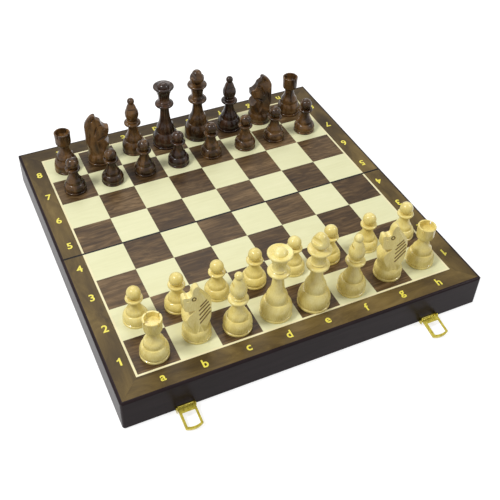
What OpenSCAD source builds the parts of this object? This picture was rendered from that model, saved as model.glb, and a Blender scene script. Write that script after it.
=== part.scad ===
// Folding chess box, open flat as a board, with its thirty-two turned men in the starting position.
// X runs along the seam from the a-file to the h-file, Y from White's side to Black's, Z up.
// The origin is the middle of the seam, on the plane of the rims, where the two halves pivot.

/* [Board] */
// Side of one chess square
square = 43.5; // [38:0.5:50]
// Width from the outer face to the first square
border_w = 26; // [22:0.5:34]
// Width of the pale inlaid line round the squares
line_w = 2.2; // [1:0.1:4]
// Thickness of the veneer
veneer_t = 0.6; // [0.4:0.1:1]

/* [Box halves] */
// Height of one half, from its rim to the playing surface
half_h = 37.5; // [30:0.5:48]
// Thickness of the rails
rail_t = 9; // [7:0.5:13]
// Thickness of the plywood panel under the veneer
panel_t = 4; // [3:0.5:6]
// Width of the rail's lip that stands round the panel
lip_w = 3; // [2.4:0.2:5]
// Radius of the rounded upper edge of the rails
edge_r = 2.2; // [1:0.1:2.4]
// Radius of the upright corners
corner_r = 3; // [1:0.5:5]
// Gap between the halves when they lie flat
seam_gap = 0.3; // [0.2:0.1:0.8]
// Thickness of the felt lining
felt_t = 0.8; // [0.5:0.1:1.5]

/* [Hinges] */
// Distance of each hinge from the middle
hinge_x = 120; // [80:1:140]
// Length of a hinge
hinge_l = 40; // [30:1:60]
// Height of a hinge leaf
leaf_h = 13; // [10:0.5:18]
// Thickness of a hinge leaf
leaf_t = 1; // [0.8:0.1:1.4]
// Radius of the hinge knuckles
knuckle_r = 1.5; // [1.3:0.1:2]
// Radius of the hinge pins
hinge_pin_r = 0.75; // [0.5:0.05:0.9]
// Number of knuckles on a hinge
knuckles = 5; // [3:2:7]

/* [Latches] */
// Distance of each latch from the middle
latch_x = 138; // [100:1:160]
// Width of a latch bracket over its cheeks
bracket_w = 20; // [16:0.5:26]
// Thickness of the stamped brass sheet
brass_t = 0.7; // [0.5:0.1:0.9]
// Distance from the latch pin to the front of the box
latch_pin_y = 3.2; // [3:0.1:4]
// Height of the latch pin above the rim
latch_pin_z = 5.6; // [5:0.1:7]
// Radius of the latch pins
latch_pin_r = 0.7; // [0.5:0.05:0.8]
// Length of the swinging frame from its pin to the curve of its end
frame_l = 22; // [18:0.5:26]
// Width of the frame's arms
arm_w = 2.4; // [2:0.1:3]

/* [Men] */
// Height of a king
king_h = 95.6; // [76:0.2:100]
// Radius of a king's foot
king_r = 16.9; // [13:0.1:18]
// Height of a queen
queen_h = 88; // [70:0.5:92]
// Radius of a queen's foot
queen_r = 16.4; // [13:0.1:18]
// Height of a bishop
bishop_h = 75.9; // [60:0.1:80]
// Radius of a bishop's foot
bishop_r = 15; // [12:0.1:17]
// Height of a knight
knight_h = 65; // [52:0.5:70]
// Radius of a knight's foot
knight_r = 15.2; // [12:0.1:17]
// Height of a rook
rook_h = 51.6; // [42:0.1:56]
// Radius of a rook's foot
rook_r = 15; // [12:0.1:17]
// Height of a pawn
pawn_h = 45.8; // [38:0.1:50]
// Radius of a pawn's foot
pawn_r = 13.6; // [11:0.1:15]

/* [Hidden] */
$fn = 64;

// Small allowances
slip = 0.01;           // how far a cutter runs past the face it opens
hairline = 0.05;       // between the mitred ends of the veneer
soft_gap = 0.3;        // round the felt, in its tray
pin_gap = 0.05;        // round a pin, in its bore
knuckle_gap = 0.3;     // between knuckles, and from a knuckle to the wood and the other leaf
swing_gap = 0.3;       // each side of the latch frame, inside its cheeks

// Places worked out from the driving dimensions
board_r = 4 * square;                    // half the width of the eight squares
box_r = board_r + border_w;              // half the width of the box, and the depth of a half
panel_r = box_r - lip_w;                 // edge of the panel
line_r = board_r + line_w;               // outer edge of the inlaid line
inner_r = box_r - rail_t;                // inner face of the outer rails
seam_y = -seam_gap / 2;                  // outer face of the near seam rail
core_z = half_h - veneer_t;              // top of the panel
ledge_z = core_z - panel_t;              // ledge that the panel lies on
knuckle_l = hinge_l / knuckles;
latch_w = bracket_w - 2 * brass_t - 2 * swing_gap;
frame_drop = 1.4;                        // depth of the frame's turned-down edge below its pin

// Brown and pale finishes
rail_colour = [0.13, 0.09, 0.09];
core_colour = [0.72, 0.58, 0.40];
border_colour = [0.33, 0.27, 0.20];
line_colour = [0.90, 0.86, 0.68];
pale_colour = [0.87, 0.85, 0.67];
walnut_colour = [0.30, 0.21, 0.18];
felt_colour = [0.10, 0.25, 0.16];
brass_colour = [0.80, 0.74, 0.28];
light_man_colour = [0.84, 0.76, 0.47];
dark_man_colour = [0.25, 0.14, 0.09];

// ---- Curves -------------------------------------------------------------------------------------

// Points of an arc about c, from angle a0 to a1, with its own radius each way
function arc(c, rx, rz, a0, a1, n = 6) =
    [for (k = [0:n]) let (a = a0 + (a1 - a0) * k / n) [c[0] + rx * cos(a), c[1] + rz * sin(a)]];

// Points of a curve that leaves p0 towards p1 and arrives at p2 from there
function curve(p0, p1, p2, n = 7) =
    [for (k = [0:n]) let (t = k / n) p0 * (1 - t) ^ 2 + p1 * 2 * t * (1 - t) + p2 * t ^ 2];

// ---- One half of the box, built as the near half ------------------------------------------------

// Plan of a half: square at the seam, round at the two outer corners
module half_plan(r, corner) {
    union() {
        translate([-r, -r + corner]) square([2 * r, r - corner + seam_y]);
        translate([-r + corner, -r]) square([2 * (r - corner), corner + slip]);
        for (side = [-1, 1]) translate([side * (r - corner), -r + corner]) circle(r = corner);
    }
}

// Section across the box with both upper edges rounded
module rounded_section() {
    union() {
        translate([-box_r, 0]) square([2 * box_r, half_h - edge_r]);
        translate([-box_r + edge_r, 0]) square([2 * (box_r - edge_r), half_h]);
        for (side = [-1, 1]) translate([side * (box_r - edge_r), half_h - edge_r]) circle(r = edge_r);
    }
}

// The three outer rails in one, with the ledge for the panel
module outer_rails() {
    difference() {
        intersection() {
            linear_extrude(half_h) half_plan(box_r, corner_r);
            rotate([90, 0, 0]) linear_extrude(2 * box_r) rounded_section();
            rotate([90, 0, 90]) linear_extrude(2 * box_r, center = true) rounded_section();
        }
        translate([-inner_r, -inner_r, -slip]) cube([2 * inner_r, inner_r, half_h]);
        translate([-panel_r, -panel_r, ledge_z]) cube([2 * panel_r, panel_r, half_h]);
    }
}

// Wedge in plan that the front rail fills between its two mitres
module front_mitre() {
    translate([0, 0, -slip]) linear_extrude(half_h + 2 * slip) polygon([
        [-box_r, -box_r], [box_r, -box_r], [box_r - rail_t, -box_r + rail_t], [-box_r + rail_t, -box_r + rail_t]
    ]);
}

module front_rail() {
    intersection() { outer_rails(); front_mitre(); }
}

module side_rail(side) {
    intersection() {
        difference() { outer_rails(); front_mitre(); }
        translate([side * (box_r - rail_t / 2) - rail_t / 2, -box_r, -slip])
            cube([rail_t, box_r, half_h + 2 * slip]);
    }
}

// Rail along the seam, let in for the hinge leaves and hollowed for their knuckles
module seam_rail() {
    difference() {
        translate([-inner_r, seam_y - rail_t, 0]) cube([2 * inner_r, rail_t, ledge_z]);
        for (side = [-1, 1]) translate([side * hinge_x, 0, 0]) {
            translate([-hinge_l / 2, seam_y - leaf_t, -slip]) cube([hinge_l, leaf_t + slip, leaf_h + slip]);
            rotate([0, 90, 0]) cylinder(r = knuckle_r + knuckle_gap, h = hinge_l + 2 * knuckle_gap, center = true);
        }
    }
}

module panel() {
    translate([-panel_r, -panel_r, ledge_z]) cube([2 * panel_r, panel_r + seam_y, panel_t]);
}

// Three strips of veneer between two distances from the middle, with a hairline at each mitre
module veneer_strips(inside, outside) {
    translate([0, 0, core_z]) linear_extrude(veneer_t) {
        polygon([[-outside, -outside], [outside, -outside], [inside, -inside], [-inside, -inside]]);
        for (side = [-1, 1]) polygon([
            [side * outside, -outside + hairline], [side * outside, seam_y],
            [side * inside, seam_y], [side * inside, -inside + hairline]
        ]);
    }
}

// Every second square of the half's four ranks; odd is 0 for the colour of the a1 corner
module squares(odd) {
    for (file = [0:7], rank = [0:3]) if ((file + rank) % 2 == odd)
        translate([file * square - board_r, rank * square - board_r, core_z])
            cube([square, rank == 3 ? square + seam_y : square, veneer_t]);
}

module felt() {
    felt_r = inner_r - soft_gap;
    translate([-felt_r, -felt_r, ledge_z - felt_t])
        cube([2 * felt_r, felt_r + seam_y - rail_t - soft_gap, felt_t]);
}

// The far half is the near half turned half round about Z
module far() { rotate([0, 0, 180]) children(); }

// ---- Hinges -------------------------------------------------------------------------------------

// One leaf with its share of the knuckles; odd is 0 for the leaf with the end knuckles
module leaf(odd) {
    first = -hinge_l / 2;
    difference() {
        union() {
            difference() {
                translate([first, seam_y - leaf_t, 0]) cube([hinge_l, leaf_t, leaf_h]);
                for (k = [0:knuckles - 1]) if (k % 2 != odd)
                    translate([first + k * knuckle_l - knuckle_gap / 2, 0, 0]) rotate([0, 90, 0])
                        cylinder(r = knuckle_r + knuckle_gap, h = knuckle_l + knuckle_gap);
            }
            for (k = [0:knuckles - 1]) if (k % 2 == odd)
                translate([first + k * knuckle_l + knuckle_gap / 2, 0, 0]) rotate([0, 90, 0])
                    cylinder(r = knuckle_r, h = knuckle_l - knuckle_gap);
        }
        rotate([0, 90, 0]) cylinder(r = hinge_pin_r + pin_gap, h = hinge_l + 1, center = true);
        for (k = [-1:1]) translate([k * hinge_l / 3, seam_y, leaf_h * 0.62]) rotate([90, 0, 0]) {
            translate([0, 0, -slip]) cylinder(r = 0.9, h = leaf_t + 2 * slip);
            translate([0, 0, -slip]) cylinder(r1 = 1.8, r2 = 0.9, h = leaf_t * 0.8);
        }
    }
}

module hinge_leaves(odd) {
    for (side = [-1, 1]) translate([side * hinge_x, 0, 0]) leaf(odd);
}

// ---- Latches, drawn about the foot of the front face, Y outwards as on the box ------------------

module latch_bore(r) {
    translate([0, -latch_pin_y, latch_pin_z]) rotate([0, 90, 0]) cylinder(r = r, h = 2 * bracket_w, center = true);
}

// Base plate nailed to the rail, with two round-nosed cheeks bent out of it
module bracket() {
    nose_r = 2.3;
    plate_h = latch_pin_z - 1;
    difference() {
        union() {
            translate([-bracket_w / 2, -brass_t, soft_gap]) cube([bracket_w, brass_t, plate_h]);
            for (side = [-1, 1]) translate([side * (bracket_w - brass_t) / 2 - brass_t / 2, 0, 0])
                rotate([90, 0, 90]) linear_extrude(brass_t) union() {
                    translate([-latch_pin_y, soft_gap]) square([latch_pin_y, latch_pin_z - soft_gap + nose_r * 0.6]);
                    translate([-latch_pin_y - nose_r * 0.7, soft_gap]) square([nose_r, latch_pin_z - soft_gap]);
                    translate([-latch_pin_y, latch_pin_z]) circle(r = nose_r);
                }
        }
        latch_bore(latch_pin_r + pin_gap);
        for (side = [-1, 1]) translate([side * bracket_w / 4, slip, plate_h / 2 + soft_gap])
            rotate([90, 0, 0]) cylinder(r = 0.6, h = brass_t + 2 * slip);
    }
}

// Plan of the frame: two arms, a web by the pin, and an end bar that bulges outwards
module frame_plan() {
    bulge_r = latch_w;
    web_l = 6.5;
    end_w = 2.2;
    window_l = frame_l - web_l - end_w;
    difference() {
        union() {
            translate([-latch_w / 2, -frame_l]) square([latch_w, frame_l - 1]);
            intersection() {
                translate([0, -frame_l + sqrt(bulge_r ^ 2 - latch_w ^ 2 / 4)]) circle(r = bulge_r);
                translate([-latch_w / 2, -2 * frame_l]) square([latch_w, frame_l + 1]);
            }
        }
        translate([-latch_w / 2 + arm_w, -web_l - window_l]) square([latch_w - 2 * arm_w, window_l]);
        translate([0, -frame_l + sqrt(bulge_r ^ 2 - latch_w ^ 2 / 4) + end_w])
            intersection() {
                circle(r = bulge_r);
                translate([-latch_w / 2 + arm_w, -bulge_r]) square([latch_w - 2 * arm_w, bulge_r / 2]);
            }
    }
}

// The frame about its pin, pointing outwards and level: top sheet, turned-down sides and end lip
module flat_frame() {
    sheet_z = 1;
    drop = frame_drop;
    bulge_r = latch_w;
    bulge_y = -frame_l + sqrt(bulge_r ^ 2 - latch_w ^ 2 / 4);
    difference() {
        union() {
            translate([0, 0, sheet_z]) linear_extrude(brass_t) frame_plan();
            for (side = [-1, 1]) translate([side * (latch_w - brass_t) / 2 - brass_t / 2, 0, 0]) {
                translate([0, -frame_l, -drop]) cube([brass_t, frame_l, drop + sheet_z + brass_t]);
                rotate([90, 0, 90]) cylinder(r = 1.7, h = brass_t);
            }
            intersection() {
                translate([0, bulge_y, -drop]) difference() {
                    cylinder(r = bulge_r, h = drop + sheet_z + brass_t);
                    translate([0, 0, -slip]) cylinder(r = bulge_r - brass_t, h = drop + sheet_z + 1);
                }
                translate([-latch_w / 2, -2 * frame_l, -drop]) cube([latch_w, frame_l + 1, 2 * drop + sheet_z]);
            }
        }
        rotate([0, 90, 0]) cylinder(r = latch_pin_r + pin_gap, h = 2 * latch_w, center = true);
    }
}

// The frame where it lies, its end lip just clear of the plane of the rims
frame_reach = frame_l + latch_w - sqrt(latch_w ^ 2 * 0.75);
frame_tilt = asin((latch_pin_z - 0.05) / sqrt(frame_reach ^ 2 + frame_drop ^ 2)) - atan(frame_drop / frame_reach);
module latch_frame() {
    translate([0, -latch_pin_y, latch_pin_z]) rotate([frame_tilt, 0, 0]) flat_frame();
}

// Catch plate on the far rail, with a tongue that the closed frame drops over
module catch_plate() {
    tongue_z = frame_l - latch_pin_z - 4.4;
    difference() {
        union() {
            translate([-6, -brass_t, 5]) cube([12, brass_t, tongue_z]);
            translate([-4, 0, tongue_z - 1]) rotate([90, 0, 90]) linear_extrude(8) difference() {
                union() {
                    translate([-3, 0]) circle(r = 2.2);
                    translate([-3, -2.2]) square([3, 2.2 + brass_t]);
                }
                translate([-3, 0]) circle(r = 2.2 - brass_t);
                translate([-3, -2.2 + brass_t]) square([3 + slip, 2.2 - brass_t]);
                translate([-6, -3]) square([3, 3]);
            }
        }
        for (side = [-1, 1]) translate([side * 4, slip, 7.5])
            rotate([90, 0, 0]) cylinder(r = 0.6, h = brass_t + 2 * slip);
    }
}

module at_latch(side) { translate([side * latch_x, -box_r, 0]) children(); }

module pins() {
    pin_l = bracket_w + 0.6;
    for (side = [-1, 1]) {
        translate([side * hinge_x, 0, 0]) rotate([0, 90, 0]) cylinder(r = hinge_pin_r, h = hinge_l, center = true);
        at_latch(side) translate([0, -latch_pin_y, latch_pin_z])
            rotate([0, 90, 0]) cylinder(r = latch_pin_r, h = pin_l, center = true);
    }
}

// ---- Men ----------------------------------------------------------------------------------------

// Outlines run up the right-hand side of each man, from the middle of its foot to its top.
// They are drawn at the sizes above, and fit() takes them to the sizes that are set.
function fit(outline, drawn_r, drawn_h, r, h) =
    [for (p = outline) [p[0] * r / drawn_r, p[1] * h / drawn_h]];

// Plinth, groove and domed foot of radius r, up to the step of radius step_r at height step_z
function foot(r, step_r, step_z) =
    let (rim = 0.6, groove_z = 3.3, belly = r - 0.4, swell_z = 5.1, reach = 76)
    let (rx = (belly - step_r - 0.3) / (1 - cos(reach)), rz = (step_z - swell_z) / sin(reach))
    concat(
        [[0, 0], [r - rim, 0]],
        arc([r - rim, rim], rim, rim, -60, 0, 2),
        arc([r - rim, groove_z - 0.9], rim, rim, 0, 70, 2),
        [[r - 1.3, groove_z]],
        arc([belly - 1.6, swell_z], 1.6, 1.5, -60, 0, 3),
        arc([belly - rx, swell_z], rx, rz, 8, reach, 6)
    );

// Turned ring of outer radius r at height z
function ring(r, z, bead) = arc([r - bead, z], bead, bead, -65, 80);

king_outline = concat(
    foot(16.9, 12.4, 17.6),
    curve([12.2, 18.6], [6.6, 27], [5.6, 50.8], 9),
    [[7.4, 51.3]], ring(11.5, 54.6, 1.8), [[9, 57], [8.2, 57.3]], ring(8.5, 58.6, 1),
    curve([7.1, 61], [7, 68], [9.4, 72.6]),
    arc([10, 75.2], 1.5, 1.5, -35, 95), [[6.8, 78.6], [4.6, 80.4], [6.6, 81.2]],
    arc([0, 84.6], 8.7, 7.4, -22, 25), [[6.8, 90.2]], arc([0, 90.4], 5.9, 5.2, 30, 90)
);
queen_outline = concat(
    foot(16.4, 12.1, 17),
    curve([11.9, 17.9], [6.2, 26.5], [5.4, 55.4], 9),
    [[7.2, 55.9]], ring(11.4, 59.2, 1.8), [[8.9, 61.6], [8.1, 61.9]], ring(8.3, 63.2, 1),
    curve([6.8, 65.6], [6.8, 74], [11.3, 81.6]),
    arc([11.2, 83.2], 1.4, 1.4, -40, 80), [[8.4, 83.2]], arc([0, 83], 6.7, 5, 4, 90)
);
bishop_outline = concat(
    foot(15, 11, 15.4),
    curve([10.7, 16.2], [5.8, 23.5], [5, 37.6], 8),
    [[6.6, 38]], ring(10.3, 40.9, 1.7), [[7.6, 42.8], [6.7, 43.1]], ring(7.2, 44.2, 0.8),
    [[6.5, 45.6]], arc([0, 53.6], 8.2, 9.6, -50, 28, 9),
    curve([6, 62.6], [4.8, 66.4], [3.1, 69]), arc([0, 71.8], 4.1, 4.1, -40, 90, 8)
);
rook_outline = concat(
    foot(15, 11.2, 14.8),
    curve([11, 15.6], [7, 23], [5.8, 33.5]),
    curve([6.6, 34.2], [9.2, 35.4], [9.3, 38.8], 4), [[9.3, 43], [9.7, 51]],
    arc([9.1, 51], 0.6, 0.6, 0, 90, 3), [[7.3, 51.6], [6.9, 47], [0, 46.6]]
);
pawn_outline = concat(
    foot(13.6, 9.9, 13),
    curve([9.6, 13.8], [5.2, 20], [4.8, 29]),
    [[5.8, 29.3]], ring(8.4, 31.5, 1.2), [[5.6, 32.9]], arc([0, 39], 6.8, 6.8, -58, 90, 12)
);
knight_foot = concat(foot(15.2, 12.2, 13.4), [[12, 14.2], [0, 14.2]]);

module king() {
    notch = 3.4;
    difference() {
        rotate_extrude() polygon(fit(king_outline, 16.9, 95.6, king_r, king_h));
        for (side = [-1, 1]) translate([side * king_r * 0.53, 0, king_h * 0.958]) rotate([90, 0, 0])
            cylinder(r = notch, h = 2 * king_r, center = true, $fn = 4);
    }
}

module queen() { rotate_extrude() polygon(fit(queen_outline, 16.4, 88, queen_r, queen_h)); }

module bishop() {
    difference() {
        rotate_extrude() polygon(fit(bishop_outline, 15, 75.9, bishop_r, bishop_h));
        translate([bishop_r * 0.28, 0, bishop_h * 0.8]) rotate([0, -32, 0])
            translate([0, -bishop_r, 0]) cube([bishop_r, 2 * bishop_r, 1.5]);
    }
}

module rook() {
    slot_w = 1.3;
    difference() {
        rotate_extrude() polygon(fit(rook_outline, 15, 51.6, rook_r, rook_h));
        for (turn = [0, 90]) rotate([0, 0, turn])
            translate([-rook_r, -slot_w / 2, rook_h - 4.8]) cube([2 * rook_r, slot_w, 10]);
    }
}

module pawn() { rotate_extrude() polygon(fit(pawn_outline, 13.6, 45.8, pawn_r, pawn_h)); }

// Side view of the horse's head, looking along -X, on the top of its foot
horse_side = concat(
    [[11.6, 13.6]], curve([11.6, 14.6], [15.6, 22], [13, 27.6]), curve([12.2, 28.6], [9, 31.4], [7.4, 34]),
    curve([10.6, 34.4], [13.8, 37], [14.6, 40.4], 4), curve([14.6, 42], [14.8, 45.2], [12.4, 45.8], 3),
    curve([8.6, 48.4], [6, 53], [3.4, 57.4], 5), [[1.4, 59.6], [2, 64.6], [-0.4, 65], [-2.4, 62.6]],
    curve([-5.2, 63.4], [-16.4, 58], [-16.2, 42], 8), curve([-16.2, 36], [-15.6, 24], [-11.4, 14.2], 6),
    [[-11.4, 13.6]]
);
// Front view of the same head, half of it
horse_front = concat(
    [[0, 13.4], [10.4, 13.4]], curve([10.4, 15], [11.4, 24], [9.4, 33], 5), curve([9.2, 36], [9, 48], [6.6, 56], 5),
    [[5, 61], [4.6, 65.4], [0, 65.4]]
);

module knight() {
    rise = knight_h / 65;
    spread = knight_r / 15.2;
    union() {
        rotate_extrude() polygon(fit(knight_foot, 15.2, 65, knight_r, knight_h));
        intersection() {
            rotate([90, 0, 0]) linear_extrude(3 * knight_r, center = true)
                polygon([for (p = horse_side) [p[0] * spread, p[1] * rise]]);
            rotate([90, 0, 90]) linear_extrude(3 * knight_r, center = true) union() {
                polygon([for (p = horse_front) [p[0] * spread, p[1] * rise]]);
                mirror([1, 0]) polygon([for (p = horse_front) [p[0] * spread, p[1] * rise]]);
            }
            cylinder(r = 16 * spread, h = 2 * knight_h);
        }
    }
}

// Stands a man on a square, with file and rank from 1 to 8, a little off its middle as set by hand
module on(file, rank, off = [0, 0], turn = 0) {
    translate([(file - 4.5) * square + off[0], (rank - 4.5) * square + off[1], half_h])
        rotate([0, 0, turn]) children();
}

// ---- The pieces, by name ------------------------------------------------------------------------

module near_front_rail() { color(rail_colour) front_rail(); }
module near_left_rail() { color(rail_colour) side_rail(-1); }
module near_right_rail() { color(rail_colour) side_rail(1); }
module near_seam_rail() { color(rail_colour) seam_rail(); }
module near_panel() { color(core_colour) panel(); }
module near_border_veneer() { color(border_colour) veneer_strips(line_r, panel_r); }
module near_inlaid_line() { color(line_colour) veneer_strips(board_r, line_r); }
module near_light_squares() { color(pale_colour) squares(1); }
module near_dark_squares() { color(walnut_colour) squares(0); }
module near_felt() { color(felt_colour) felt(); }
module far_back_rail() { color(rail_colour) far() front_rail(); }
module far_left_rail() { color(rail_colour) far() side_rail(1); }
module far_right_rail() { color(rail_colour) far() side_rail(-1); }
module far_seam_rail() { color(rail_colour) far() seam_rail(); }
module far_panel() { color(core_colour) far() panel(); }
module far_border_veneer() { color(border_colour) far() veneer_strips(line_r, panel_r); }
module far_inlaid_line() { color(line_colour) far() veneer_strips(board_r, line_r); }
module far_light_squares() { color(pale_colour) far() squares(1); }
module far_dark_squares() { color(walnut_colour) far() squares(0); }
module far_felt() { color(felt_colour) far() felt(); }
module near_hinge_leaves() { color(brass_colour) hinge_leaves(0); }
module far_hinge_leaves() { color(brass_colour) far() hinge_leaves(1); }
module pivot_pins() { color(brass_colour) pins(); }
module left_latch_bracket() { color(brass_colour) at_latch(-1) bracket(); }
module right_latch_bracket() { color(brass_colour) at_latch(1) bracket(); }
module left_latch_frame() { color(brass_colour) at_latch(-1) latch_frame(); }
module right_latch_frame() { color(brass_colour) at_latch(1) latch_frame(); }
module catch_plates() { color(brass_colour) far() for (side = [-1, 1]) at_latch(side) catch_plate(); }

module light_king() { color(light_man_colour) on(5, 1, [-1.3, -6.6], 20) king(); }
module light_queen() { color(light_man_colour) on(4, 1, [0.9, -3.5]) queen(); }
module light_bishop_c() { color(light_man_colour) on(3, 1, [1.3, -5.2], 150) bishop(); }
module light_bishop_f() { color(light_man_colour) on(6, 1, [0, -5.6], 160) bishop(); }
module light_knight_b() { color(light_man_colour) on(2, 1, [4.4, 2.6], 190) knight(); }
module light_knight_g() { color(light_man_colour) on(7, 1, [3, -1.3], 184) knight(); }
module light_rook_a() { color(light_man_colour) on(1, 1, [1.7, -3.9], 20) rook(); }
module light_rook_h() { color(light_man_colour) on(8, 1, [1.3, 0.4], 30) rook(); }
module light_pawn_a() { color(light_man_colour) on(1, 2, [-0.9, -0.4]) pawn(); }
module light_pawn_b() { color(light_man_colour) on(2, 2) pawn(); }
module light_pawn_c() { color(light_man_colour) on(3, 2) pawn(); }
module light_pawn_d() { color(light_man_colour) on(4, 2, [-1.3, 0]) pawn(); }
module light_pawn_e() { color(light_man_colour) on(5, 2, [0.4, 0]) pawn(); }
module light_pawn_f() { color(light_man_colour) on(6, 2) pawn(); }
module light_pawn_g() { color(light_man_colour) on(7, 2, [3.5, 0]) pawn(); }
module light_pawn_h() { color(light_man_colour) on(8, 2, [6, -0.9]) pawn(); }
module dark_king() { color(dark_man_colour) on(5, 8, [0, 0], 10) king(); }
module dark_queen() { color(dark_man_colour) on(4, 8) queen(); }
module dark_bishop_c() { color(dark_man_colour) on(3, 8, [2.2, 2.6], 260) bishop(); }
module dark_bishop_f() { color(dark_man_colour) on(6, 8, [0, 0], 270) bishop(); }
module dark_knight_b() { color(dark_man_colour) on(2, 8, [0, 0], 330) knight(); }
module dark_knight_g() { color(dark_man_colour) on(7, 8, [0, 0], 175) knight(); }
module dark_rook_a() { color(dark_man_colour) on(1, 8, [1.7, -0.9], 40) rook(); }
module dark_rook_h() { color(dark_man_colour) on(8, 8, [0, 1.3], 15) rook(); }
module dark_pawn_a() { color(dark_man_colour) on(1, 7) pawn(); }
module dark_pawn_b() { color(dark_man_colour) on(2, 7, [2.2, -1.3]) pawn(); }
module dark_pawn_c() { color(dark_man_colour) on(3, 7) pawn(); }
module dark_pawn_d() { color(dark_man_colour) on(4, 7) pawn(); }
module dark_pawn_e() { color(dark_man_colour) on(5, 7) pawn(); }
module dark_pawn_f() { color(dark_man_colour) on(6, 7, [2, -1.5]) pawn(); }
module dark_pawn_g() { color(dark_man_colour) on(7, 7) pawn(); }
module dark_pawn_h() { color(dark_man_colour) on(8, 7) pawn(); }

near_front_rail();
near_left_rail();
near_right_rail();
near_seam_rail();
near_panel();
near_border_veneer();
near_inlaid_line();
near_light_squares();
near_dark_squares();
near_felt();
far_back_rail();
far_left_rail();
far_right_rail();
far_seam_rail();
far_panel();
far_border_veneer();
far_inlaid_line();
far_light_squares();
far_dark_squares();
far_felt();
near_hinge_leaves();
far_hinge_leaves();
pivot_pins();
left_latch_bracket();
right_latch_bracket();
left_latch_frame();
right_latch_frame();
catch_plates();
light_king();
light_queen();
light_bishop_c();
light_bishop_f();
light_knight_b();
light_knight_g();
light_rook_a();
light_rook_h();
light_pawn_a();
light_pawn_b();
light_pawn_c();
light_pawn_d();
light_pawn_e();
light_pawn_f();
light_pawn_g();
light_pawn_h();
dark_king();
dark_queen();
dark_bishop_c();
dark_bishop_f();
dark_knight_b();
dark_knight_g();
dark_rook_a();
dark_rook_h();
dark_pawn_a();
dark_pawn_b();
dark_pawn_c();
dark_pawn_d();
dark_pawn_e();
dark_pawn_f();
dark_pawn_g();
dark_pawn_h();
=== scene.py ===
import math

import bmesh
import bpy
from mathutils import Matrix, Vector


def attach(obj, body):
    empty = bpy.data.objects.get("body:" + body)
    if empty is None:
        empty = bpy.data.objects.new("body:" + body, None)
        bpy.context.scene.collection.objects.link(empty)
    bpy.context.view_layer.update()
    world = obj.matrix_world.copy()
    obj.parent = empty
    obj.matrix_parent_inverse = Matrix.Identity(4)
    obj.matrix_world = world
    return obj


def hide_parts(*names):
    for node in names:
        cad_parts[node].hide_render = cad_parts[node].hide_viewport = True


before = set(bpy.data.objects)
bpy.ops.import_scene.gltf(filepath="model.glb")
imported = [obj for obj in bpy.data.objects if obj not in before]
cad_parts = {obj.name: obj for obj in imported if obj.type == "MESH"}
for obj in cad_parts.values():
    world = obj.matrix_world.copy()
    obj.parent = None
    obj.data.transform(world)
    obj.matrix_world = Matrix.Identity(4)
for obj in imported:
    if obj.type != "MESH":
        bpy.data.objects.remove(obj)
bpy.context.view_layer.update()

# A folding chess box, open and face down as a board, with its thirty-two men.
# X runs along the seam from the a-file to the h-file, Y from the near side to the far side, Z up.
# The box and its hardware come from the frame and get their finishes here. The printed coordinates,
# the screws and the nails are added, and the men are turned and carved in place of the frame's.

MM = 0.001
SQUARE = 43.5 * MM
BOARD_TOP = 37.5 * MM  # the playing surface, above the rims that the box stands on


# ---- Making and finishing a piece ----------------------------------------------------------------

SHARP_EDGE = math.radians(32)
WELD = 4e-6  # points of a cut solid that lie closer than this, in metres, are one point


def piece_from(bm, name):
    """Turns a finished bmesh into a smooth-shaded piece with crisp edges where it turns sharply."""
    bmesh.ops.recalc_face_normals(bm, faces=bm.faces)
    for face in bm.faces:
        face.smooth = True
    for edge in bm.edges:
        edge.smooth = not (edge.is_manifold and edge.calc_face_angle() > SHARP_EDGE)
    mesh = bpy.data.meshes.new(name)
    bm.to_mesh(mesh)
    bm.free()
    piece = bpy.data.objects.new(name, mesh)
    bpy.context.scene.collection.objects.link(piece)
    return piece


def set_out(piece, body, slot, material, *nodes):
    """Gives a piece its finish and its body, and hides the CAD nodes that it stands for."""
    piece.data.materials.append(material)
    # faces left by a cut marked for it get a second material: shade painted into the grooves
    if any(polygon.material_index for polygon in piece.data.polygons):
        piece.data.materials.append(painted_groove_shade)
    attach(piece, body)
    if nodes:
        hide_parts(*nodes)


def baked(piece):
    """Applies a piece's modifiers and returns the result as a bmesh; the piece itself is removed."""
    evaluated = piece.evaluated_get(bpy.context.evaluated_depsgraph_get())
    bm = bmesh.new()
    bm.from_mesh(evaluated.to_mesh())
    evaluated.to_mesh_clear()
    bpy.data.objects.remove(piece)
    return bm


def wood_and_shade_slots(piece):
    """Makes room for the finish of the wood and for the shade painted into its cuts, so that a boolean keeps
    both.
    """
    for _ in range(2):
        piece.data.materials.append(None)
    return piece


def carved(bm, cutters, operation="DIFFERENCE", shaded_cut=0):
    """Cuts shapes out of a solid, keeps only what lies inside them, or joins them to it."""
    solid = wood_and_shade_slots(piece_from(bm, "blank"))
    tools = []
    for k, cutter in enumerate(cutters):
        # a cut of index 1 leaves grooves that get the painted shade
        for face in cutter.faces:
            face.material_index = shaded_cut
        tool = wood_and_shade_slots(piece_from(cutter, f"tool_{k}"))
        cut = solid.modifiers.new("cut", "BOOLEAN")
        cut.operation, cut.solver, cut.object = operation, "EXACT", tool
        tools.append(tool)
    out = baked(solid)
    for tool in tools:
        bpy.data.objects.remove(tool)
    bmesh.ops.remove_doubles(out, verts=out.verts, dist=WELD)
    bmesh.ops.dissolve_degenerate(out, dist=WELD, edges=out.edges)
    return out


def moved(bm, matrix):
    """Takes a whole bmesh to another place."""
    bmesh.ops.transform(bm, matrix=matrix, verts=bm.verts)
    return bm


def mirrored(bm):
    """Turns a bmesh over to the other side of the XZ plane, with its faces pointing outwards again."""
    bmesh.ops.scale(bm, vec=(1, -1, 1), verts=bm.verts)
    bmesh.ops.recalc_face_normals(bm, faces=bm.faces)
    return bm


def at(x, y, z):
    """The move to a place given in millimetres."""
    return Matrix.Translation((x * MM, y * MM, z * MM))


def about(axis, angle):
    """The turn about an axis through the middle."""
    return Matrix.Rotation(angle, 4, axis)


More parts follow.
